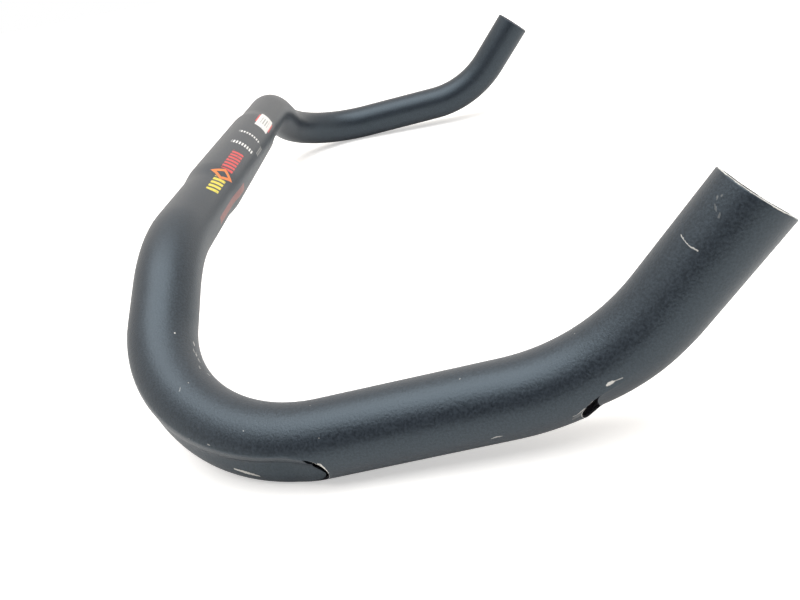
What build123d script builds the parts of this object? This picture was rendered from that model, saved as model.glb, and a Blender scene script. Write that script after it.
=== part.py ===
from build123d import *
from math import acos, cos, degrees, radians, sin, sqrt, tan
import os

os.makedirs("parts", exist_ok=True)

# Bullhorn handlebar, bent from one aluminium tube. Sizes are in millimetres and angles in degrees.
# X runs to the rider's right along the stem clamp, Y forward and Z up, and the origin is the
# clamp's centre. The bar lies as it rests on a table, on the undersides of its two corner bends.

# Tube
tube_d = 23.8  # outside, where tape and brake levers go
wall = 1.9
clamp_d = 26.0  # outside, in the stem
clamp_length = 100.0
swage_length = 20.0  # taper from the clamp down to the tube, on each side

# Bend chart of one side, from the swage to the cut end, with the horns level
top_straight = 39.4
crown_bend_r = 78.0
shoulder_fall = 26.5  # below level
shoulder_straight = 18.0
corner_bend_r = 55.5  # a square turn, forward into the horn
horn_straight = 55.2
end_bend_r = 67.0
end_rise = 45.75  # above level
end_straight = 34.3
rest_rise = 4.0  # slope of the horns on the table

# Cable ports: the wall is slit in an arch and pressed in beside it, so that a cable housing
# slips under the arch and into the horn
housing_d = 5.0
port_clearance = 0.5
groove_r = 10.0  # hollow of the pressed groove
rear_slit = 3.0  # open gap between the arch and the pressed wall
rear_port_ahead = 2.0  # from the end of the corner bend to the rear port's arch
rear_groove_depth = 2.9  # where the groove around the corner bend begins
rear_runout = 12.0  # angle at which that groove leaves the tube
front_slit = 4.5
front_port_turn = 14.6  # along the end bend to the front port's arch
front_port_side = 133.0  # from the top of the tube, turning outward
front_ramp = 12.5  # slope of the front groove

# Sizes that follow from these
tube_r = tube_d / 2
swage_end = clamp_length / 2 + swage_length
crown_tangent = crown_bend_r * tan(radians(shoulder_fall / 2))
end_tangent = end_bend_r * tan(radians(end_rise / 2))
crown_half = swage_end + top_straight + crown_tangent
shoulder_length = crown_tangent + shoulder_straight + corner_bend_r
half_width = crown_half + shoulder_length * cos(radians(shoulder_fall))  # to the horn's centre line
drop = shoulder_length * sin(radians(shoulder_fall))  # from the clamp down to the horn
reach = corner_bend_r + horn_straight + end_tangent  # forward to where the horn turns up
end_length = end_tangent + end_straight
slot_depth = wall + housing_d + port_clearance
groove_centre = tube_r - slot_depth + groove_r  # from the tube's axis, at a port
mouth_height = (tube_r**2 - groove_r**2 + groove_centre**2) / (2 * groove_centre)
port_r = sqrt(tube_r**2 - mouth_height**2)  # half the groove's width at a port

# Corners of the centre line on the right side, tilted to the table
table = Plane.XY.rotated((rest_rise, 0, 0))
end_forward = end_length * cos(radians(end_rise))
end_up = end_length * sin(radians(end_rise))
swage = Vector(swage_end, 0, 0)
crown = Vector(crown_half, 0, 0)
corner = table.from_local_coords(Vector(half_width, 0, -drop))
upturn = table.from_local_coords(Vector(half_width, reach, -drop))
tip = table.from_local_coords(Vector(half_width, reach + end_forward, end_up - drop))
with BuildLine() as route:
    FilletPolyline(swage, crown, corner, upturn, tip, radius=(crown_bend_r, corner_bend_r, end_bend_r))

# Plane of the corner bend, about its centre: X along the drop, Y along the horn
along_drop = (corner - crown).normalized()
along_horn = (upturn - corner).normalized()
bend_plane = Plane(
    origin=corner + (along_horn - along_drop) * corner_bend_r,
    x_dir=along_drop,
    z_dir=along_drop.cross(along_horn),
)

# Planes that look out of the ports, with X running from the top of the arch along the groove
rear_mouth = Plane(
    origin=bend_plane.from_local_coords(Vector(corner_bend_r, rear_port_ahead, 0)),
    x_dir=along_horn * -1,
    z_dir=along_drop,
)
end_bend_start = reach - end_tangent
port_turn = radians(front_port_turn)
port_side = radians(front_port_side)
port_forward = end_bend_start + end_bend_r * sin(port_turn)
port_up = end_bend_r * (1 - cos(port_turn)) - drop
above = Vector(0, -sin(port_turn), cos(port_turn))
outward = above * cos(port_side) + Vector(sin(port_side), 0, 0)
front_mouth = Plane(
    origin=table.from_local_coords(Vector(half_width, port_forward, port_up)),
    x_dir=table.from_local_coords(Vector(0, cos(port_turn), sin(port_turn))),
    z_dir=table.from_local_coords(outward),
)


def half_tube(inset):
    """Right half of the bar as a solid, with every radius smaller by inset."""
    swage_start = clamp_length / 2
    swage_middle = (swage_start + swage_end) / 2
    clamp_r = clamp_d / 2 - inset
    side_r = tube_r - inset
    with BuildPart() as half:
        with BuildSketch(Plane.XY):
            with BuildLine():
                Polyline((swage_end, side_r), (swage_end, 0), (0, 0), (0, clamp_r), (swage_start, clamp_r))
                Bezier(
                    (swage_start, clamp_r),
                    (swage_middle, clamp_r),
                    (swage_middle, side_r),
                    (swage_end, side_r),
                )
            make_face()
        revolve(axis=Axis.X)
        with BuildSketch(Plane.YZ.offset(swage_end)):
            Circle(side_r)
        sweep(path=route.wire())
    return half.part


def arched_stop(mouth, slit):
    """All that lies before a port's arch moved back by slit, to trim a groove to that edge."""
    with BuildPart() as stop:
        with BuildSketch(mouth):
            with Locations((slit + port_r, 0)):
                Rectangle(2 * tube_d, 2 * tube_d, align=(Align.MAX, Align.CENTER))
                Circle(port_r, mode=Mode.SUBTRACT)
        extrude(amount=2 * tube_d, both=True)
    return stop.part


def rear_groove(stop, grow):
    """Hollow around the outside of the corner bend, deeper towards the rear port."""
    back = slot_depth - rear_groove_depth
    path_r = corner_bend_r + groove_centre
    begin = radians(rear_runout)
    finish = acos(-(back + rear_port_ahead + wall) / path_r)
    clear = corner_bend_r + tube_d + groove_r - back
    runout = (clear - path_r * cos(begin)) / sin(begin)
    with BuildPart() as groove:
        with BuildLine(bend_plane) as path:
            bend = CenterArc((0, -back), path_r, degrees(begin) - 90, degrees(finish - begin))
            Line(bend @ 0 - (bend % 0) * runout, bend @ 0)
        with BuildSketch(Plane(origin=bend @ 0 - (bend % 0) * runout, z_dir=bend % 0)):
            Circle(groove_r + grow)
        sweep(path=path.wire())
        add(stop, mode=Mode.SUBTRACT)
    return groove.part


def front_groove(stop, grow):
    """Hollow that slopes from the front port up to the outside of the end bend."""
    slope = radians(front_ramp)
    run = slot_depth / tan(slope)
    heading = front_mouth.x_dir * cos(slope) + front_mouth.z_dir * sin(slope)
    start = front_mouth.origin + front_mouth.z_dir * groove_centre - heading * tube_r
    with BuildPart() as groove:
        with BuildSketch(Plane(origin=start, z_dir=heading)):
            Circle(groove_r + grow)
        extrude(amount=tube_r + run)
        add(stop, mode=Mode.SUBTRACT)
    return groove.part


outside = half_tube(0)
inside = half_tube(wall)
rear_hollow = rear_groove(arched_stop(rear_mouth, 0), 0)
rear_pressing = rear_groove(arched_stop(rear_mouth, rear_slit), wall)
front_hollow = front_groove(arched_stop(front_mouth, 0), 0)
front_pressing = front_groove(arched_stop(front_mouth, front_slit), wall)

# The bore, narrowed where the wall is pressed in behind the grooves
with BuildPart() as bore:
    add(inside)
    add(rear_pressing, mode=Mode.SUBTRACT)
    add(front_pressing, mode=Mode.SUBTRACT)

with BuildPart() as handlebar:
    add(outside)
    add(rear_hollow, mode=Mode.SUBTRACT)
    add(front_hollow, mode=Mode.SUBTRACT)
    add(bore.part, mode=Mode.SUBTRACT)
    mirror(about=Plane.YZ)

handlebar.part.label = "handlebar"
export_step(handlebar.part, "parts/handlebar.step")
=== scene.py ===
# %% [markdown]
# # A bullhorn handlebar, dressed
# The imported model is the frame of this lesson: it fixes every size and place, and nothing here moves it.
# The lesson adds what the solid leaves out, which is the soft lips of the pressed cable ports, the matte
# coat with its grain and its wear, and the light that the bar is seen in.

# %% Load the frame
from typing import NamedTuple

import bmesh
import bpy
import numpy as np
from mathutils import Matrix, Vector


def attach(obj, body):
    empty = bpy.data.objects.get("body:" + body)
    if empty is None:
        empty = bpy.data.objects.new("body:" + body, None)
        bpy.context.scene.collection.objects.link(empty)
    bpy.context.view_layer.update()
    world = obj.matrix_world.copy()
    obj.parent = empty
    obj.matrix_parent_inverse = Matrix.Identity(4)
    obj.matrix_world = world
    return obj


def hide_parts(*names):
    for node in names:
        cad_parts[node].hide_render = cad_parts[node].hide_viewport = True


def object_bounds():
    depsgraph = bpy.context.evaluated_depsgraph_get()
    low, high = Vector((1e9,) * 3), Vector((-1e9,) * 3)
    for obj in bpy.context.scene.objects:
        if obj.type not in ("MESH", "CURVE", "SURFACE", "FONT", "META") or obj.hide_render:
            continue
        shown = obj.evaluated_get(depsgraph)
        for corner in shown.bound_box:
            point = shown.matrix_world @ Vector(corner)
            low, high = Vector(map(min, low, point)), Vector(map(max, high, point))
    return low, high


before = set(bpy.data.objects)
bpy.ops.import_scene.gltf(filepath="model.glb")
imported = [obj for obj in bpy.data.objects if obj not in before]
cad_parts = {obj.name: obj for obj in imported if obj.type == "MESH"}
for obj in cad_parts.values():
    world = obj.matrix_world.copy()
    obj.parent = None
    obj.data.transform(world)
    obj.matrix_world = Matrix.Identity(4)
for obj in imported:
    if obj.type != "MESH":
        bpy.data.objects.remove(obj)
cad_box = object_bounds()
print("CAD box:", [tuple(round(value, 4) for value in corner) for corner in cad_box])

# %% [markdown]
# ## The bend chart
# A tube bender works from a chart: go straight so far, roll the tube, bend it by this much on that former.
# A curve drawn by hand could follow the same line, but the chart is exact, has few numbers and gives an
# arc length for every place on the bar, which the ports, the wear and the print are then placed by.
# Sizes are in millimetres and degrees, and the right half is described, from the middle of the clamp out.

# %% Centre line from the bend chart
SHOULDER_FALL = 26.5
END_STRAIGHT = 34.3


class Bend(NamedTuple):
    run: float  # straight length before the bend
    roll: float  # side that the bend turns to, as an angle from the top of the tube
    turn: float
    radius: float


CROWN = Bend(run=109.4, roll=180.0, turn=SHOULDER_FALL, radius=78.0)
CORNER = Bend(run=18.0, roll=-90.0, turn=90.0, radius=55.5)
UPTURN = Bend(run=55.2, roll=-SHOULDER_FALL, turn=45.75, radius=67.0)
BENDS = (CROWN, CORNER, UPTURN)
LAST_RUN = Bend(run=END_STRAIGHT, roll=0.0, turn=0.0, radius=1.0)  # no bend follows it


def turned(heading, top, side, bend, angle):
    """Travel and frame after turning by angle: the heading swings towards one side on a circle, and the
    top and the side swing with it, so that the frame never twists about the tube."""
    roll = np.radians(bend.roll)
    swing = np.cos(roll) * top + np.sin(roll) * side
    swung = np.cos(angle) * swing - np.sin(angle) * heading
    travel = bend.radius * (np.sin(angle) * heading + (1 - np.cos(angle)) * swing)
    ahead = np.cos(angle) * heading + np.sin(angle) * swing
    return travel, ahead, top + np.cos(roll) * (swung - swing), side + np.sin(roll) * (swung - swing)


def centre_line(station):
    """Point, top and side vectors at each arc length: along a run the point moves straight ahead, and in
    a bend by the circle of that bend, each stretch taking over from its own start."""
    start, point = 0.0, np.zeros(3)
    heading, top, side = np.array([(1.0, 0, 0), (0, 0, 1.0), (0, -1.0, 0)])
    places = tops = sides = np.zeros(station.shape + (3,))
    for bend in BENDS + (LAST_RUN,):
        along = (station - start)[..., None]
        places = np.where(along >= 0, point + along * heading, places)
        tops = np.where(along >= 0, top, tops)
        sides = np.where(along >= 0, side, sides)
        point = point + bend.run * heading
        start = start + bend.run
        if bend.turn == 0:
            continue
        angle = (station - start)[..., None] / bend.radius
        travel, _, top_there, side_there = turned(heading, top, side, bend, angle)
        places = np.where(angle >= 0, point + travel, places)
        tops = np.where(angle >= 0, top_there, tops)
        sides = np.where(angle >= 0, side_there, sides)
        travel, heading, top, side = turned(heading, top, side, bend, np.radians(bend.turn))
        point = point + travel
        start = start + bend.radius * np.radians(bend.turn)
    return places, tops, sides


def station_after(bend):
    """Arc length at which a bend of the chart ends: the runs and arcs up to there, added up."""
    reached = BENDS[: BENDS.index(bend) + 1]
    return sum(each.run + each.radius * np.radians(each.turn) for each in reached)


BAR_END = station_after(UPTURN) + END_STRAIGHT
print(f"half bar: {BAR_END:.1f} mm of tube, corner bend ends at {station_after(CORNER):.1f} mm")

# %% [markdown]
# ## The cable ports
# Each horn has two ports for a brake cable. The maker slit the wall in an arch and pressed the tongue of
# metal beside the slit inward, so that the housing slips in under the arch. Cutting a groove with a
# Boolean gives hard lips, and a real pressing has none: the sheet rolls over, and a long tongue springs
# back a little where it was cut free. So the pressing is a depth that is taken off the tube's radius, with
# a bell across and a slow ramp along, and the surface is torn only where the arch stands clear of the
# tongue.

# %% Sizes of the ports
class Port(NamedTuple):
    toward: int  # side of the slit that is pressed in: -1 is nearer the clamp, +1 nearer the cut end
    station: float  # arc length at the top of the arch
    facing: float  # top of the arch, as an angle from the top of the tube towards the outside
    middle: float  # of the slit and the pressing, as an angle again
    spread: float  # half their angle
    arch: float  # how far the arch's feet stand behind its top
    oval: float  # roundness of the arch: below 1 it is a blunt nose, above 1 a pointed one
    slit: float  # widest gap along the tube between arch and tongue
    closing: float  # share of that gap that is closed again towards the lower end of the slit
    depth: float  # of the pressing, at the slit if the tongue didn't spring back
    spring: float  # share of the depth by which the tongue springs back at the slit
    ramp: float  # length over which the tongue comes back up
    easing: float  # power of that ramp
    lip: float  # how softly the wall rolls over: the power of the bell across the pressing
    widen: float  # angle by which the pressing gets wider away from the slit, to each side


REAR_PORT = Port(
    toward=-1, station=251.4, facing=86.0, middle=86.0, spread=32.0,
    arch=5.0, oval=0.6, slit=4.1, closing=1.0,
    depth=7.0, spring=0.6, ramp=120.0, easing=1.9, lip=1.3, widen=8.0,
)
FRONT_PORT = Port(
    toward=1, station=323.0, facing=96.0, middle=108.0, spread=36.5,
    arch=7.4, oval=0.5, slit=5.1, closing=0.15,
    depth=1.9, spring=0.0, ramp=26.0, easing=1.7, lip=0.55, widen=0.0,
)
PORTS = (REAR_PORT, FRONT_PORT)
print("ports:", [port.station for port in PORTS], "mm from the middle of the clamp")

# %% The slit
ARCH_REACH = 9.0  # length over which the grid's rows bend back from the arch
SLIT_REACH = 12.0  # length over which they bend back from the tongue's edge
CLOSING_HASTE = 1.3  # above 1, the closing is complete before the lower end of the slit


def smooth(value):
    """Cubic step: 0 below 0, 1 above 1 and 3v^2 - 2v^3 between."""
    value = np.clip(value, 0, 1)
    return value * value * (3 - 2 * value)


def across_slit(port, angle):
    """Place across the slit: -1 at its upper end, 0 at the top of the arch and 1 at its lower end."""
    off = angle - port.facing
    upper = port.facing - port.middle + port.spread
    return off / np.where(off < 0, upper, 2 * port.spread - upper)


def open_share(port, angle):
    """How far the slit is open: 1 at the top of the arch and 0 past the ends, by a power of 1 minus the
    square."""
    return np.clip(1 - across_slit(port, angle) ** 2, 0, None) ** port.oval


def arch_back(port, angle):
    """How far the edge of the slit stands behind the top of the arch: nothing in the middle, the whole
    arch at the ends, and fading out around the rest of the tube."""
    past = np.clip(np.abs(across_slit(port, angle)) - 1, 0, None)
    return port.arch * (1 - open_share(port, angle)) * np.exp(-past)


def row_shift(port, base, angle, tongue):
    """Shift along the tube that bends the grid's rows to the arch, dying out with distance from it. On
    the tongue's side the edge is drawn back by the slit as well."""
    away = np.abs(base - port.station)
    shift = arch_back(port, angle) * np.exp(-((away / ARCH_REACH) ** 2))
    if tongue:
        left_open = 1 - port.closing * smooth(CLOSING_HASTE * across_slit(port, angle))
        gap = port.slit * open_share(port, angle) * left_open
        shift = shift + gap * np.exp(-((away / SLIT_REACH) ** 2))
    return port.toward * shift


for port in PORTS:
    print(f"slit: {port.slit} mm wide at the most, over {2 * port.spread} degrees of the tube")

# %% The pressing
SPRING_REACH = 14.0  # length of tongue that springs back
WIDEN_LEAD = 1.0  # how far before the arch's feet the pressing starts to get wider
WIDEN_REACH = 6.0  # length over which it does


def tongue_depth(port, station, angle):
    """Depth on the pressed side: a bell across, which is a power of the cosine and as wide as the slit at
    first, times a ramp that falls to nothing along the tube, less what springs back near the slit."""
    along = port.toward * (station - port.station)
    spread = port.spread + port.widen * smooth((along - port.arch + WIDEN_LEAD) / WIDEN_REACH)
    off = np.clip((angle - port.middle) / spread, -1, 1)
    bell = np.clip(np.cos(off * np.pi / 2), 0, 1) ** port.lip
    sprung = 1 - port.spring * (1 - smooth(along / SPRING_REACH))
    return port.depth * bell * sprung * np.clip(1 - along / port.ramp, 0, None) ** port.easing


for port in PORTS:
    tongue_line = port.station + port.toward * np.linspace(0, port.ramp)
    print(f"tongue: pressed in by {tongue_depth(port, tongue_line, port.middle).max():.1f} mm at the most")

# %% [markdown]
# ## The skin of the bar
# A circle carried along the centre line would make the tube with a curve's bevel, but then the ports could
# only be cut in later. Here the tube is a grid over two parameters, arc length and angle, with the radius
# worked out for each point, so that ports and swage are part of one formula. The slits part the grid in
# three panels, which are sewn together everywhere but at the slits. The inside of the wall is the same
# grid one wall further in, and strips close the cut edges, so that the tube is truly hollow and open.

# %% Radius of the tube
TUBE_R = 11.9
CLAMP_R = 13.0
CLAMP_HALF = 50.0
SWAGE = 20.0


def tube_radius(station):
    """Outside radius: the clamp's, easing to the tube's along the swage by a cubic step."""
    return CLAMP_R - (CLAMP_R - TUBE_R) * smooth((station - CLAMP_HALF) / SWAGE)


print(f"radius: {tube_radius(0.0)} mm in the clamp, {tube_radius(BAR_END)} mm at the end")

# %% Rows and columns of the grid
BEFORE_RIM = 0.4  # from the last row of the tube to the cut


def spaced(*stops):
    """Stations from one stop to the next, each stop given with the step that leads to it."""
    rows = [np.array([stops[0][0]])]
    for (start, _), (end, step) in zip(stops, stops[1:]):
        count = max(int(round(abs(end - start) / step)), 1)
        rows.append(np.linspace(start, end, count + 1)[1:])
    return np.concatenate(rows)


ANGLES = spaced((-180, 0), (0, 7.5), (44, 4.4), (146, 1.5), (180, 5.7))[:-1]
REAR_ROWS = spaced(
    (0, 0), (CLAMP_HALF, 5.0), (CLAMP_HALF + SWAGE, 1.0),
    (110, 5.0), (160, 2.0), (236, 1.25), (REAR_PORT.station, 0.4),
)
MIDDLE_ROWS = spaced(
    (REAR_PORT.station, 0), (262, 0.4), (268, 1.0), (310, 3.0), (FRONT_PORT.station, 0.4)
)
FRONT_ROWS = spaced((FRONT_PORT.station, 0), (334, 0.4), (362, 1.25), (BAR_END - BEFORE_RIM, 2.5))
print("rows:", [len(rows) for rows in (REAR_ROWS, MIDDLE_ROWS, FRONT_ROWS)], "columns:", len(ANGLES))

# %% Cuts that are out of true
class Saw(NamedTuple):
    over: float  # how much further out than marked the cut is
    lean: float  # how much further out again it is on the long side, and further in on the other
    bow: float  # how far the cut bows in on both of these sides, and out between them
    long_side: float  # as an angle from the top of the tube


RIGHT_SAW = Saw(over=0.17, lean=0.04, bow=0.28, long_side=32.0)
LEFT_SAW = Saw(over=-1.0, lean=-0.35, bow=0.0, long_side=-106.0)
SAW_REACH = 20.0  # length of tube over which the rows follow the cut


def saw_shift(base, angle, saw):
    """Shift along the tube for a cut that is out of true: a constant, the cosine of the angle from the
    long side and the cosine of twice that angle, all dying out away from the cut end."""
    turn = np.radians(angle - saw.long_side)
    shift = saw.over + saw.lean * np.cos(turn) - saw.bow * np.cos(2 * turn)
    return shift * smooth((base - BAR_END + SAW_REACH) / SAW_REACH)


for saw in (RIGHT_SAW, LEFT_SAW):
    off_mark = saw_shift(BAR_END, ANGLES, saw)
    print(f"cut: {off_mark.min():+.2f} to {off_mark.max():+.2f} mm off the mark")

# %% One panel of the grid
def panel(base, insets, ports, saw):
    """Points of one panel: each row's station, shifted to the arches, carried round the centre line at the
    tube's radius less the pressings and less the row's own inset."""
    base, angle = np.meshgrid(base, ANGLES, indexing="ij")
    station = base + saw_shift(base, angle, saw)
    station = station + sum(row_shift(port, base, angle, tongue) for port, tongue in ports)
    radius = tube_radius(station) - np.asarray(insets)[:, None]
    for port, tongue in ports:
        radius = radius - tongue * tongue_depth(port, station, angle)
    place, top, side = centre_line(np.clip(station, 0, None))
    turn = np.radians(angle)[..., None]
    return place + radius[..., None] * (np.cos(turn) * top + np.sin(turn) * side)


def quads(rows, start, flip):
    """Faces of a grid that is closed around the tube, numbered from start: each joins two neighbours in a
    row to the same two in the next row."""
    count = len(ANGLES)
    row, column = np.meshgrid(np.arange(rows - 1), np.arange(count), indexing="ij")
    after = (column + 1) % count
    near, far = row * count, (row + 1) * count
    corners = (near + column, near + after, far + after, far + column)
    faces = np.stack([corner.ravel() for corner in corners], axis=1) + start
    return faces[:, ::-1] if flip else faces


def thinned(rows):
    """Every third row, with the first and the last kept, for the inside that is hardly seen."""
    return np.unique(np.concatenate([rows[::3], rows[-1:]]))


print("rows inside:", [len(thinned(rows)) for rows in (REAR_ROWS, MIDDLE_ROWS, FRONT_ROWS)])

# %% [markdown]
# ## Sewing the panels
# The panels share their edges, so welding points that coincide joins them, and the slits stay open because
# their two edges don't coincide. The left half is the right half mirrored, with its faces turned round,
# but each end was cut a little out of true in its own way. Blender could do both with modifiers. Done on
# arrays, the whole tube is one closed mesh that can be tested.

# %% Wall and rim
WALL = 1.9
EDGE_WALL = 0.7  # at the edges of the slits
EDGE_REACH = 5.0  # length over which the wall gets that thin
CHAMFER = 0.3
RIM_ROWS = (
    (BAR_END - CHAMFER, 0.0),
    (BAR_END, CHAMFER),
    (BAR_END, WALL - CHAMFER / 2),
    (BAR_END - CHAMFER / 2, WALL),
)


def wall_inset(base, ports):
    """Depth of the inside below the outside: the wall, drawn thin by the pressing at the edges of a slit."""
    nearness = sum(np.exp(-(((base - port.station) / EDGE_REACH) ** 2)) for port, _ in ports)
    return WALL - (WALL - EDGE_WALL) * nearness


print(f"wall: {WALL} mm, {EDGE_WALL} mm at the slits")

# %% Distance to the cut edges
MARGIN = 3.0  # the most that is kept
OPENING_HASTE = 3.0  # how soon past the ends of a slit its arch counts as a cut edge


def margin(base, ports):
    """Distance along the tube to the nearest cut edge, which is the cut end or the arch of an open slit,
    and no more than a few millimetres."""
    base, angle = np.meshgrid(base, ANGLES, indexing="ij")
    nearest = np.clip(BAR_END - base, 0, MARGIN)
    for port, tongue in ports:
        closed = MARGIN * (1 - smooth(OPENING_HASTE * open_share(port, angle)))
        away = np.abs(base - port.station) + (MARGIN if tongue else closed)
        nearest = np.minimum(nearest, away)
    return nearest


print(f"margin: up to {MARGIN} mm from a cut edge")

# %% Half of the skin
COATED, BORE, SLIT = 0, 1, 2


def half_skin(saw):
    """Points, their margins, faces and the faces' finishes on the right half: outer and inner panels, and
    strips along the slits."""
    rear = [(REAR_PORT, True)]
    middle = [(REAR_PORT, False), (FRONT_PORT, False)]
    front = [(FRONT_PORT, True)]
    rim_stations, rim_insets = zip(*RIM_ROWS)
    points, margins, faces, finishes, edges, start = [], [], [], [], [], 0
    for rows, ports in ((REAR_ROWS, rear), (MIDDLE_ROWS, middle), (FRONT_ROWS, front)):
        for inner in (False, True):
            base = thinned(rows) if inner else rows
            if ports is front and inner:
                well_inside = base[base < BAR_END - 2 * MARGIN]
                base = np.append(well_inside, (BAR_END - MARGIN, rim_stations[-1]))
            insets = wall_inset(base, ports) if inner else np.zeros(len(base))
            if ports is front and not inner:
                base = np.append(base, rim_stations)
                insets = np.append(insets, rim_insets)
            grid = panel(base, insets, ports, saw)
            faces.append(quads(len(base), start, inner))
            finishes.append(np.full(len(faces[-1]), BORE if inner else COATED))
            edges.append((start, start + (len(base) - 1) * len(ANGLES)))
            points.append(grid.reshape(-1, 3))
            margins.append(margin(base, ports).ravel())
            start += grid.size // 3
    cuts = (
        (REAR_PORT, edges[0][1], edges[1][1], COATED),
        (REAR_PORT, edges[2][0], edges[3][0], SLIT),
        (FRONT_PORT, edges[2][1], edges[3][1], SLIT),
        (FRONT_PORT, edges[4][0], edges[5][0], COATED),
    )
    for port, outer, inner, finish in cuts:
        torn = np.flatnonzero(np.abs(across_slit(port, ANGLES)) < 1)
        before = np.arange(torn[0] - 1, torn[-1] + 1)
        after = before + 1
        faces.append(np.stack([outer + before, outer + after, inner + after, inner + before], axis=1))
        finishes.append(np.full(len(before), finish))
    return tuple(np.concatenate(each) for each in (points, margins, faces, finishes))


half_points, half_margins, half_faces, half_finishes = half_skin(RIGHT_SAW)
left_points = half_skin(LEFT_SAW)[0]
print(f"half: {len(half_points)} points, {len(half_faces)} quads before welding")

# %% Sew the halves
WELD_STEPS = 1e4  # to the millimetre


def weld(points, faces):
    """Points that coincide to a ten-thousandth of a millimetre become one, and faces that shrink go. Gives
    the points kept, the new faces, and which faces stay."""
    steps = np.round(points * WELD_STEPS)
    _, first, which = np.unique(steps, axis=0, return_index=True, return_inverse=True)
    faces = which.reshape(-1)[faces]
    whole = (np.diff(np.sort(faces, axis=1), axis=1) > 0).all(axis=1)
    return first, faces[whole], whole


both_points = np.concatenate([half_points, left_points * (-1, 1, 1)])
both_faces = np.concatenate([half_faces, half_faces[:, ::-1] + len(half_points)])
kept, skin_faces, whole = weld(both_points, both_faces)
skin_points = both_points[kept]
skin_margins = np.tile(half_margins, 2)[kept]
skin_finishes = np.tile(half_finishes, 2)[whole]
print(f"skin: {len(skin_points)} points, {len(skin_faces)} quads")

# %% [markdown]
# ## The mesh
# The chart describes the bar with its horns level, and on the table it lies tipped, which turns all points
# about the clamp's axis. Mirroring has turned one half inside out, so the normals are worked out anew on
# the welded mesh. That is also the moment to count open edges: a closed skin has none. Smooth shading would
# smear the light over the cut rim, so edges that are sharper than fifty degrees stay sharp. The distance to
# the cut edges goes along as an attribute, for the wear.

# %% Lay the bar on the table
MM = 0.001
REST_RISE = 4.0


def laid(points):
    """The gauge position, horns level, tipped about the clamp's axis to lie on the table."""
    tip = np.radians(REST_RISE)
    x, y, z = np.moveaxis(points, -1, 0)
    return np.stack([x, y * np.cos(tip) - z * np.sin(tip), y * np.sin(tip) + z * np.cos(tip)], axis=-1)


skin_places = laid(skin_points) * MM
print(f"lowest point: {skin_places[:, 2].min():.4f} m")

# %% Make the mesh
SHARP = 50.0
skin_mesh = bpy.data.meshes.new("bar_skin")
skin_mesh.from_pydata(skin_places, [], skin_faces.tolist())
work = bmesh.new()
work.from_mesh(skin_mesh)
bmesh.ops.recalc_face_normals(work, faces=work.faces)
open_edges = sum(not edge.is_manifold for edge in work.edges)
work.to_mesh(skin_mesh)
work.free()
skin_mesh.polygons.foreach_set("use_smooth", np.ones(len(skin_mesh.polygons), dtype=bool))
skin_mesh.set_sharp_from_angle(angle=np.radians(SHARP))
kept_margin = skin_mesh.attributes.new("margin", "FLOAT", "POINT")
kept_margin.data.foreach_set("value", skin_margins.astype(np.float32))
skin_mesh.polygons.foreach_set("material_index", skin_finishes.astype(np.int32))
skin = bpy.data.objects.new("bar_skin", skin_mesh)
bpy.context.scene.collection.objects.link(skin)
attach(skin, "root")
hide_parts("handlebar")
print(f"mesh: {len(skin_mesh.polygons)} faces, {open_edges} open edges")

# %% [markdown]
# ## The matte coat
# The bar is coated matte black. Close up the coat is a fine orange peel: tiny hills that break a reflection
# up into a soft sheen. One way is to raise the roughness alone, but then the surface looks like plastic.
# Here a fine noise tilts the normals as well, and slightly changes the colour, so that the sheen has a
# grain. Object coordinates are used, because they are in metres and don't stretch in the bends.

# %% Node helpers
def node(tree, kind, inputs=(), **settings):
    """New shader node, with its settings, and with each input either linked or set."""
    made = tree.nodes.new("ShaderNode" + kind)
    for name, value in settings.items():
        setattr(made, name, value)
    for key, value in dict(inputs).items():
        if isinstance(value, bpy.types.NodeSocket):
            tree.links.new(value, made.inputs[key])
        else:
            made.inputs[key].default_value = value
    return made


def maths(tree, operation, *values):
    """Socket with the result of one sum, product or other operation."""
    return node(tree, "Math", enumerate(values), operation=operation).outputs[0]


def blend(tree, share, first, second):
    """Colour socket that goes from the first colour to the second by share."""
    return node(tree, "Mix", {0: share, 6: first, 7: second}, data_type="RGBA").outputs[2]


def ramp(tree, value, start, end, low=0.0, high=1.0):
    """Socket that goes from low to high by a cubic step while the value goes from start to end."""
    limits = {"Value": value, "From Min": start, "From Max": end, "To Min": low, "To Max": high}
    return node(tree, "MapRange", limits, interpolation_type="SMOOTHSTEP").outputs[0]


def noise(tree, place, size, detail=2.0):
    """Noise from 0 to 1, with lumps of about a size in millimetres."""
    settings = {"Vector": place, "Scale": 1 / (size * MM), "Detail": detail, "Roughness": 0.6}
    return node(tree, "TexNoise", settings).outputs["Fac"]


def finish(name):
    """New material on the skin: its node tree, its shader, and a socket with the place in metres."""
    material = bpy.data.materials.new(name)
    material.use_nodes = True
    skin_mesh.materials.append(material)
    tree = material.node_tree
    return tree, tree.nodes["Principled BSDF"], node(tree, "TexCoord").outputs["Object"]


print("node helpers ready")

# %% The grain of the coat
GRAIN = 0.7
RELIEF = 0.2
HOLLOWS, HILLS = (0.004, 0.006, 0.011, 1), (0.020, 0.026, 0.036, 1)
SHEEN = (0.73, 0.89, 1.0, 1)
coat, coat_shader, place = finish("matte_black_coat")
grain = noise(coat, place, GRAIN, detail=3.0)
colour = blend(coat, ramp(coat, grain, 0.3, 0.7), HOLLOWS, HILLS)
relief = node(coat, "Bump", {"Height": grain, "Strength": 0.5, "Distance": RELIEF * MM})
coat.links.new(relief.outputs["Normal"], coat_shader.inputs["Normal"])
coat.links.new(ramp(coat, grain, 0.2, 0.8, low=0.36, high=0.46), coat_shader.inputs["Roughness"])
coat_shader.inputs["Specular IOR Level"].default_value = 0.8
coat_shader.inputs["Specular Tint"].default_value = SHEEN
print("coat:", len(coat.nodes), "nodes")

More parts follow.
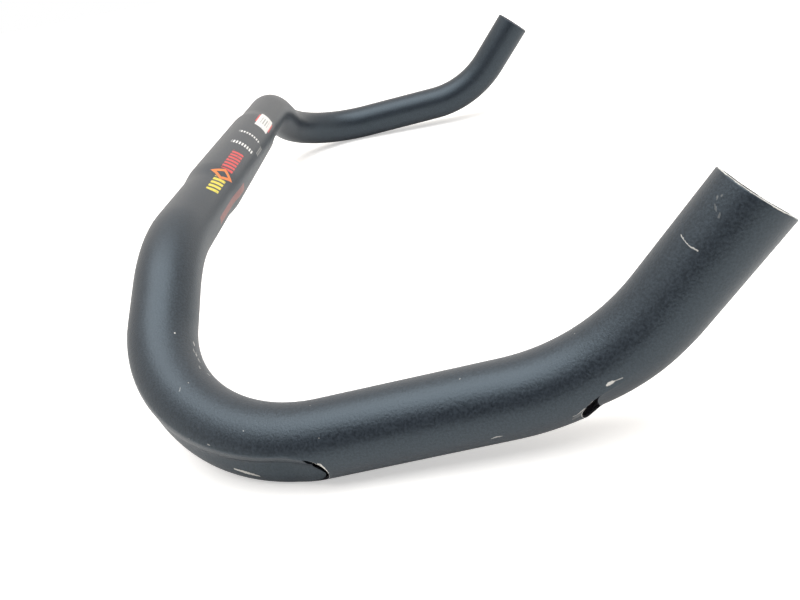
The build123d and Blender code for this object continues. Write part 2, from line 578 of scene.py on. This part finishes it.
# %% [markdown]
# ## The printed marks
# The middle of the bar is printed, and a label is stuck on it. The marks here are plain shapes: slanted
# bars that go from yellow to red with a diamond between them, a white label with red ends, two rows of
# ticks to centre a stem by, and a faded stripe underneath. Decal meshes would float above the coat, so the
# marks are masks in the coat's own material. They are measured along the clamp and around it, as print on
# a tube is.

# %% Rulers on the clamp
INK_EDGE = 0.2
axes = node(coat, "SeparateXYZ", {0: place}).outputs
along_clamp = maths(coat, "DIVIDE", axes["X"], MM)
turn = maths(coat, "ADD", maths(coat, "ARCTAN2", axes["Y"], axes["Z"]), np.radians(REST_RISE))
around_clamp = maths(coat, "MULTIPLY", turn, CLAMP_R)  # from the top, forward


def band(value, middle, half):
    """Mask of what lies within half a width of the middle."""
    off = maths(coat, "ABSOLUTE", maths(coat, "SUBTRACT", value, middle))
    return ramp(coat, off, half + INK_EDGE, half)


def bars(value, pitch, width):
    """Mask of bars that repeat at a pitch: a triangle wave, cut off at half the bars' width."""
    return ramp(coat, maths(coat, "PINGPONG", value, pitch / 2), width / 2 + INK_EDGE, width / 2)


def both(*masks):
    """Mask of what lies in all the masks: their product."""
    joined = masks[0]
    for mask in masks[1:]:
        joined = maths(coat, "MULTIPLY", joined, mask)
    return joined


def field(along, around):
    """Mask of a rectangle, given by its limits along and around the clamp."""
    low, high = along
    near, far = around
    lengthwise = band(along_clamp, (low + high) / 2, (high - low) / 2)
    crosswise = band(around_clamp, (near + far) / 2, (far - near) / 2)
    return both(lengthwise, crosswise)


print("clamp rulers: 1 mm along and 1 mm around")

# %% Print the marks
YELLOW, ORANGE, RED = (0.75, 0.62, 0.04, 1), (0.80, 0.20, 0.02, 1), (0.65, 0.03, 0.03, 1)
WHITE, GREY, FADED_RED = (0.80, 0.80, 0.78, 1), (0.35, 0.35, 0.34, 1), (0.22, 0.05, 0.035, 1)
SLANT = 0.45
DIAMOND = (61.0, 11.0)
slanted = bars(maths(coat, "MULTIPLY_ADD", around_clamp, SLANT, along_clamp), pitch=4.6, width=2.7)
ticks = bars(around_clamp, pitch=1.5, width=0.6)
sideways = maths(coat, "ABSOLUTE", maths(coat, "SUBTRACT", along_clamp, DIAMOND[0]))
upright = maths(coat, "ABSOLUTE", maths(coat, "SUBTRACT", around_clamp, DIAMOND[1]))
diamond = band(maths(coat, "ADD", sideways, upright), middle=4.6, half=1.3)
MARKS = (
    (both(field((66, 84), (8.6, 14.3)), slanted), YELLOW),
    (both(field((25, 55), (8.6, 14.3)), slanted), RED),
    (diamond, ORANGE),
    (field((-57, -39), (8.5, 18.6)), RED),
    (field((-62, -33), (9.3, 17.7)), WHITE),
    (both(field((-54, -41), (11.2, 15.8)), bars(around_clamp, pitch=1.6, width=0.5)), GREY),
    (both(field((-12.5, -9.5), (4.8, 17.5)), ticks), WHITE),
    (both(field((8.5, 13.0), (4.8, 17.5)), ticks), WHITE),
    (both(field((-10, 4), (19.0, 21.0)), bars(along_clamp, pitch=3.0, width=1.5)), GREY),
    (field((46, 94), (22.3, 25.8)), FADED_RED),
)
FLAKE = 0.8
ink_left = ramp(coat, noise(coat, place, FLAKE), 0.30, 0.42, low=0.35, high=1.0)
for mask, ink in MARKS:
    colour = blend(coat, both(mask, ink_left), colour, ink)
print("marks:", len(MARKS))

# %% [markdown]
# ## Chips and scratches
# Use has marked this bar: a bare streak where it was dragged over the ground at the corner, a chip at the
# front port, a curved scratch and rubbed spots near the cut end. An image could hold them, but each is only
# a short stroke, so a stroke is a group of nodes that measures the distance from a line between two points,
# and tapers from one width to another. Strokes are placed by arc length and angle on the tube, and a little
# noise makes their outlines ragged.

# %% A stroke, as a node group
STROKE_INPUTS = {
    "Place": "Vector",
    "Start": "Vector",
    "End": "Vector",
    "Start Reach": "Float",
    "End Reach": "Float",
}
NO_LENGTH = 1e-12  # keeps a stroke of no length from dividing by nothing
stroke = bpy.data.node_groups.new("stroke", "ShaderNodeTree")
for name, kind in STROKE_INPUTS.items():
    stroke.interface.new_socket(name, in_out="INPUT", socket_type="NodeSocket" + kind)
stroke.interface.new_socket("Mask", in_out="OUTPUT", socket_type="NodeSocketFloat")
given = stroke.nodes.new("NodeGroupInput").outputs
result = stroke.nodes.new("NodeGroupOutput").inputs


def vectors(tree, operation, *values):
    """Outputs of one operation on vectors."""
    return node(tree, "VectorMath", enumerate(values), operation=operation).outputs


line = vectors(stroke, "SUBTRACT", given["End"], given["Start"])["Vector"]
offset = vectors(stroke, "SUBTRACT", given["Place"], given["Start"])["Vector"]
travelled = vectors(stroke, "DOT_PRODUCT", offset, line)["Value"]
length = maths(stroke, "ADD", vectors(stroke, "DOT_PRODUCT", line, line)["Value"], NO_LENGTH)
along = node(stroke, "Math", {0: travelled, 1: length}, operation="DIVIDE", use_clamp=True).outputs[0]
foot = node(stroke, "VectorMath", {0: line, "Scale": along}, operation="SCALE").outputs["Vector"]
away = vectors(stroke, "DISTANCE", offset, foot)["Value"]
reach = node(stroke, "Mix", {0: along, 2: given["Start Reach"], 3: given["End Reach"]}).outputs[0]
stroke.links.new(ramp(stroke, maths(stroke, "DIVIDE", away, reach), 1.1, 0.7), result["Mask"])
print("stroke group:", len(stroke.nodes), "nodes")

# %% Where the bar is worn
class Wear(NamedTuple):
    bare: float  # how far the coat is gone
    path: tuple  # arc length, angle and half width at each point that the stroke goes through


WEAR = (
    # bare streak under the corner bend
    Wear(0.85, ((224.5, 110, 0.3), (227.5, 112, 0.55), (230, 114, 0.4), (232, 116, 0.05))),
    # chip in front of the front port, with its tail
    Wear(1.0, ((332.9, 62, 0.35), (333.7, 61.5, 0.6), (334.6, 62, 0.45), (335.3, 62.5, 0.1))),
    Wear(0.6, ((335.3, 62.5, 0.12), (337.3, 65, 0.18))),
    # chip under the horn
    Wear(0.6, ((298.6, 85, 0.1), (300.2, 83, 0.3), (302, 84, 0.1))),
    # curved scratch near the cut end
    Wear(
        0.6,
        ((376, -9, 0.18), (375.5, 0, 0.12), (375.2, 8, 0.16), (375.3, 15, 0.24), (375.5, 22, 0.16)),
    ),
    # rubbed arch of the rear port
    Wear(
        0.9,
        ((249.8, 61.5, 0.06), (250.5, 65.5, 0.3), (251, 71, 0.2), (251.4, 78, 0.14), (251.6, 86, 0.06)),
    ),
    # rubbed lip of the front port
    Wear(
        0.7,
        ((321, 86, 0.15), (321.8, 86, 0.08), (323, 83.5, 0.16), (324.4, 80, 0.16), (325.6, 78.5, 0.06)),
    ),
    Wear(0.12, ((320.8, 92, 0.5), (322.2, 90, 0.7), (323.2, 86, 0.4))),
    # scuffs on the inside of the corner bend
    Wear(0.55, ((177.7, -77, 0.2), (178.8, -78, 0.4), (180, -78, 0.1))),
    Wear(0.35, ((182.3, -71, 0.1), (184, -70, 0.3), (185.3, -69, 0.1))),
    Wear(0.45, ((184, -74, 0.1), (186, -72, 0.35), (187.2, -71, 0.1))),
    Wear(0.35, ((188, -72, 0.15), (189.5, -71, 0.4), (191, -71, 0.15))),
    Wear(0.30, ((194.2, -61, 0.2), (196, -59, 0.25))),
    Wear(0.40, ((199, -66, 0.2), (200.5, -67, 0.2))),
    # specks on the corner bend
    Wear(0.8, ((175.7, -43, 0.25), (175.9, -43, 0.25))),
    Wear(0.5, ((202.4, -22, 0.18), (202.5, -22, 0.18))),
    Wear(0.3, ((202.1, -9, 0.1), (203, -4, 0.2))),
    Wear(0.4, ((230.4, 12, 0.18), (230.5, 12, 0.18))),
    Wear(0.4, ((220.5, 42, 0.2), (221.2, 42, 0.15))),
    Wear(0.3, ((214.2, 46, 0.18), (214.4, 46, 0.18))),
    # rubbed spots near the cut end, and a speck on the horn
    Wear(0.13, ((388.5, -2, 0.3), (387.9, 0, 0.15))),
    Wear(0.10, ((386.7, 2, 0.15), (386.1, 6, 0.35), (385.6, 9, 0.15))),
    Wear(0.11, ((385.8, 14, 0.2), (384.8, 16, 0.35))),
    Wear(0.13, ((389.2, 2, 0.25), (389.4, 2, 0.25))),
    Wear(0.4, ((293.9, -14, 0.18), (294, -14, 0.18))),
)


def on_tube(path):
    """Points on the outside at each arc length and angle: the tube's radius, less the pressing there."""
    station, angle, _ = np.array(path, dtype=float).T
    radius = tube_radius(station)[:, None]
    for port in PORTS:
        on_tongue = port.toward * (station - port.station) > arch_back(port, angle)
        radius = radius - (on_tongue * tongue_depth(port, station, angle))[:, None]
    turn = np.radians(angle)[:, None]
    middle, top, side = centre_line(station)
    return laid(middle + radius * (np.cos(turn) * top + np.sin(turn) * side)) * MM


print("worn places:", len(WEAR), "with", sum(len(wear.path) - 1 for wear in WEAR), "strokes")

# %% Lay the strokes
RAGGED = 0.5  # size of the dents in a stroke's outline, and how far they push it
dents = {"Vector": place, "Scale": 1 / (RAGGED * MM), "Detail": 2.0}
jitter = node(coat, "TexNoise", dents).outputs["Color"]
centred = vectors(coat, "SUBTRACT", jitter, (0.5, 0.5, 0.5))["Vector"]
nudge = node(coat, "VectorMath", {0: centred, "Scale": RAGGED * MM}, operation="SCALE").outputs["Vector"]
ragged = vectors(coat, "ADD", place, nudge)["Vector"]
wear_and_glints = 0.0
for wear in WEAR:
    stops = list(zip(on_tube(wear.path), wear.path))
    for (start, (_, _, first)), (end, (_, _, last)) in zip(stops, stops[1:]):
        ends = {
            "Place": ragged,
            "Start": start,
            "End": end,
            "Start Reach": first * MM,
            "End Reach": last * MM,
        }
        mask = node(coat, "Group", ends, node_tree=stroke).outputs["Mask"]
        wear_and_glints = maths(coat, "MAXIMUM", wear_and_glints, maths(coat, "MULTIPLY", mask, wear.bare))
print("coat:", len(coat.nodes), "nodes")

# %% [markdown]
# ## Bare edges
# The saw left the right end bare, with the coat chipped along it, while the left end was coated over after
# it was cut. The arches of the ports are rubbed by the cables. Pointiness or an ambient occlusion node could
# find edges, but they can't be exported and they find every edge. The margin that was kept on the skin is
# exact: bare metal shows where it is less than a ragged width, and a coarser noise leaves some stretches
# whole. A last, sparse scatter of pale specks is painted into the coat's colour as painted glints, the
# sparkle of its grain.

# %% Bare edges
PATCH = 5.0  # length of the stretches that are chipped or whole
CHIP = 0.6
margin_left = node(coat, "Attribute", attribute_name="margin").outputs["Fac"]
patches = ramp(coat, noise(coat, place, PATCH), 0.42, 0.58, low=0.05, high=0.45)
chipped = maths(coat, "MULTIPLY", noise(coat, place, CHIP), patches)
ragged_edge = ramp(coat, maths(coat, "SUBTRACT", margin_left, chipped), -0.04, -0.14)
sawn = ramp(coat, margin_left, 0.05, 0.02)
not_far_left = ramp(coat, axes["X"], -0.15, -0.10)
bare_edge = both(maths(coat, "MAXIMUM", ragged_edge, sawn), not_far_left)
print("coat:", len(coat.nodes), "nodes")

# %% Specks
# Painted glints: sparse pale specks in the coat's colour stand in for the sparkle of its grain.
SPECK_CELL = 5.0
BARE_METAL_AND_GLINT = (0.72, 0.70, 0.66, 1)
cells = node(coat, "TexVoronoi", {"Vector": place, "Scale": 1 / (SPECK_CELL * MM)}).outputs
lottery = node(coat, "SeparateColor", {0: cells["Color"]}).outputs[0]
chosen = ramp(coat, lottery, 0.86, 0.9, low=0.0, high=0.3)
speck = maths(coat, "MULTIPLY", ramp(coat, cells["Distance"], 0.05, 0.03), chosen)
# The painted glints join the wear here, and both blend the coat's colour towards pale bare metal.
wear_and_glints = maths(coat, "MAXIMUM", maths(coat, "MAXIMUM", wear_and_glints, bare_edge), speck)
coat.links.new(blend(coat, wear_and_glints, colour, BARE_METAL_AND_GLINT), coat_shader.inputs["Base Color"])
coat.links.new(maths(coat, "MULTIPLY", bare_edge, 0.5), coat_shader.inputs["Metallic"])
print("coat:", len(coat.nodes), "nodes")

# %% [markdown]
# ## Inside the tube
# Nobody coats a tube inside: the bore is the dull grey of drawn aluminium, brighter at the right cut end,
# where a file has taken the burr off. The strips along the slits on the arch's side are painted shade: they
# are coloured near black and kept from shining, and stand for the hollow under the arch that the light
# doesn't reach. Both are seen through small openings, so a coarse noise between two greys is all that they
# need, and the margin again tells where the file went and where the coat wraps over the brim.

# %% Bore
DRAWN_DARK, DRAWN_PALE = (0.10, 0.10, 0.13, 1), (0.25, 0.25, 0.29, 1)
FILED, BRIM = (0.80, 0.79, 0.77, 1), (0.02, 0.02, 0.022, 1)
DRAWING_MARK = 3.0
bore, bore_shader, bore_place = finish("raw_bore")
drawn = blend(bore, noise(bore, bore_place, DRAWING_MARK, detail=4.0), DRAWN_DARK, DRAWN_PALE)
bore_margin = node(bore, "Attribute", attribute_name="margin").outputs["Fac"]
bore_axes = node(bore, "SeparateXYZ", {0: bore_place}).outputs
at_right_end = ramp(bore, maths(bore, "ADD", bore_axes["X"], bore_axes["Y"]), 0.355, 0.360)
filed_share = maths(bore, "MULTIPLY", ramp(bore, bore_margin, 2.6, 1.6), at_right_end)
filed = blend(bore, filed_share, drawn, FILED)
brim = blend(bore, ramp(bore, bore_margin, 0.30, 0.22), filed, BRIM)
bore.links.new(brim, bore_shader.inputs["Base Color"])
bore_shader.inputs["Roughness"].default_value = 0.65
print("bore:", len(bore.nodes), "nodes")

# %% Edges of the slits
# Painted shade: the strips along the slits on the arch's side are coloured near black and hardly shine,
# standing in for the shade in the hollow under the arch.
SLIT_SHADE_DARK, SLIT_SHADE_PALE = (0.004, 0.004, 0.007, 1), (0.012, 0.012, 0.018, 1)
slit, slit_shader, slit_place = finish("slit_painted_shade")
painted_slit_shade = blend(slit, noise(slit, slit_place, GRAIN), SLIT_SHADE_DARK, SLIT_SHADE_PALE)
slit.links.new(painted_slit_shade, slit_shader.inputs["Base Color"])
slit_shader.inputs["Roughness"].default_value = 0.8
slit_shader.inputs["Specular IOR Level"].default_value = 0.2
print("finishes:", [each.name for each in skin_mesh.materials])

# %% [markdown]
# ## The table
# The bar lies on a white table that melts into a white room. A bright lamp could burn the table out to
# white, but it would burn the bar too. Instead the table is pale paint, and rays that come straight from
# the camera see some white added to it, more of it further away, so that the soft shadow stays where the
# bar lies. Mirrored rays see a share of the same white.

# %% Floor
FLOOR_REACH = 6.0
floor_corners = np.array([(-1, -1, 0), (1, -1, 0), (1, 1, 0), (-1, 1, 0)]) * FLOOR_REACH
floor_mesh = bpy.data.meshes.new("floor")
floor_mesh.from_pydata(floor_corners + (0, 0, cad_box[0].z), [], [(0, 1, 2, 3)])
floor = bpy.data.objects.new("floor", floor_mesh)
bpy.context.scene.collection.objects.link(floor)
print(f"floor: at {cad_box[0].z:.4f} m")

# %% White of the table
MIRRORED = 0.12
table = bpy.data.materials.new("white_table")
table.use_nodes = True
floor_mesh.materials.append(table)
tree = table.node_tree
paint = tree.nodes["Principled BSDF"]
paint.inputs["Base Color"].default_value = (0.86, 0.85, 0.83, 1)
paint.inputs["Roughness"].default_value = 0.9
distance = vectors(tree, "LENGTH", node(tree, "TexCoord").outputs["Object"])["Value"]
seen_as = node(tree, "LightPath").outputs
added = ramp(tree, distance, 0.3, 1.0, low=0.48, high=1.0)
seen = maths(tree, "MULTIPLY", seen_as["Is Camera Ray"], added)
through = maths(tree, "MAXIMUM", seen_as["Is Glossy Ray"], seen_as["Is Transmission Ray"])
white = maths(tree, "MAXIMUM", seen, maths(tree, "MULTIPLY", through, MIRRORED))
glow = node(tree, "Emission", {"Color": (1, 1, 1, 1), "Strength": white})
look = node(tree, "AddShader", {0: paint.outputs[0], 1: glow.outputs[0]})
tree.links.new(look.outputs[0], tree.nodes["Material Output"].inputs["Surface"])
print("table:", len(tree.nodes), "nodes")

# %% [markdown]
# ## The light
# The room is pale on the far side and dim behind the camera, which gives the bar its dark lower band, and a
# large lamp hangs overhead, which draws the soft sheen along its top.

# %% Room
TO_CAMERA = (0.95, 0.0, 0.3)
world = bpy.data.worlds.new("studio")
bpy.context.scene.world = world
world.use_nodes = True
tree = world.node_tree
room = tree.nodes["Background"]
room.inputs["Color"].default_value = (1.0, 0.94, 0.88, 1)
direction = node(tree, "TexCoord").outputs["Generated"]
toward_camera = vectors(tree, "DOT_PRODUCT", direction, TO_CAMERA)["Value"]
dim_side = ramp(tree, toward_camera, 0.3, 0.95, low=1.0, high=0.08)
pale_side = ramp(tree, toward_camera, -0.5, -0.95, low=1.0, high=1.45)
tree.links.new(maths(tree, "MULTIPLY", dim_side, pale_side), room.inputs["Strength"])
backdrop = node(tree, "Background", {"Color": (1, 1, 1, 1), "Strength": 1.0})
by_camera = node(tree, "LightPath").outputs["Is Camera Ray"]
look = node(tree, "MixShader", {0: by_camera, 1: room.outputs[0], 2: backdrop.outputs[0]})
tree.links.new(look.outputs[0], tree.nodes["World Output"].inputs["Surface"])
print("room:", len(tree.nodes), "nodes")

# %% Overhead lamp
softbox = bpy.data.lights.new("softbox", "AREA")
softbox.shape = "SQUARE"
softbox.size = 1.5
softbox.energy = 22.0
softbox.color = (0.96, 0.98, 1.0)
lamp = bpy.data.objects.new("softbox", softbox)
lamp.location = (0.28, -0.02, 1.3)
bpy.context.scene.collection.objects.link(lamp)
print(f"lamp: {softbox.size} m wide, {softbox.energy} W")

# %% [markdown]
# ## The camera
# The bar was seen from close by, low over the end of one horn, so the near horn looks large and the far one
# small. That strong perspective can't be had by zooming: the distance makes it. The camera's place and lens
# were fitted to the outline of the tube, and the colours are shown as they are, without a film look.

# %% Camera
camera_data = bpy.data.cameras.new("camera")
camera_data.sensor_width = 36
camera_data.lens = 33.343
camera_data.clip_start = 0.01
camera = bpy.data.objects.new("camera", camera_data)
camera.location = (0.3887314, 0.10257749, 0.09030063)
camera.rotation_euler = np.radians((63.74063, 10.29487, 89.52837))
bpy.context.scene.collection.objects.link(camera)
bpy.context.scene.camera = camera
bpy.context.scene.view_settings.view_transform = "Standard"
print("camera:", tuple(round(value, 3) for value in camera.location))
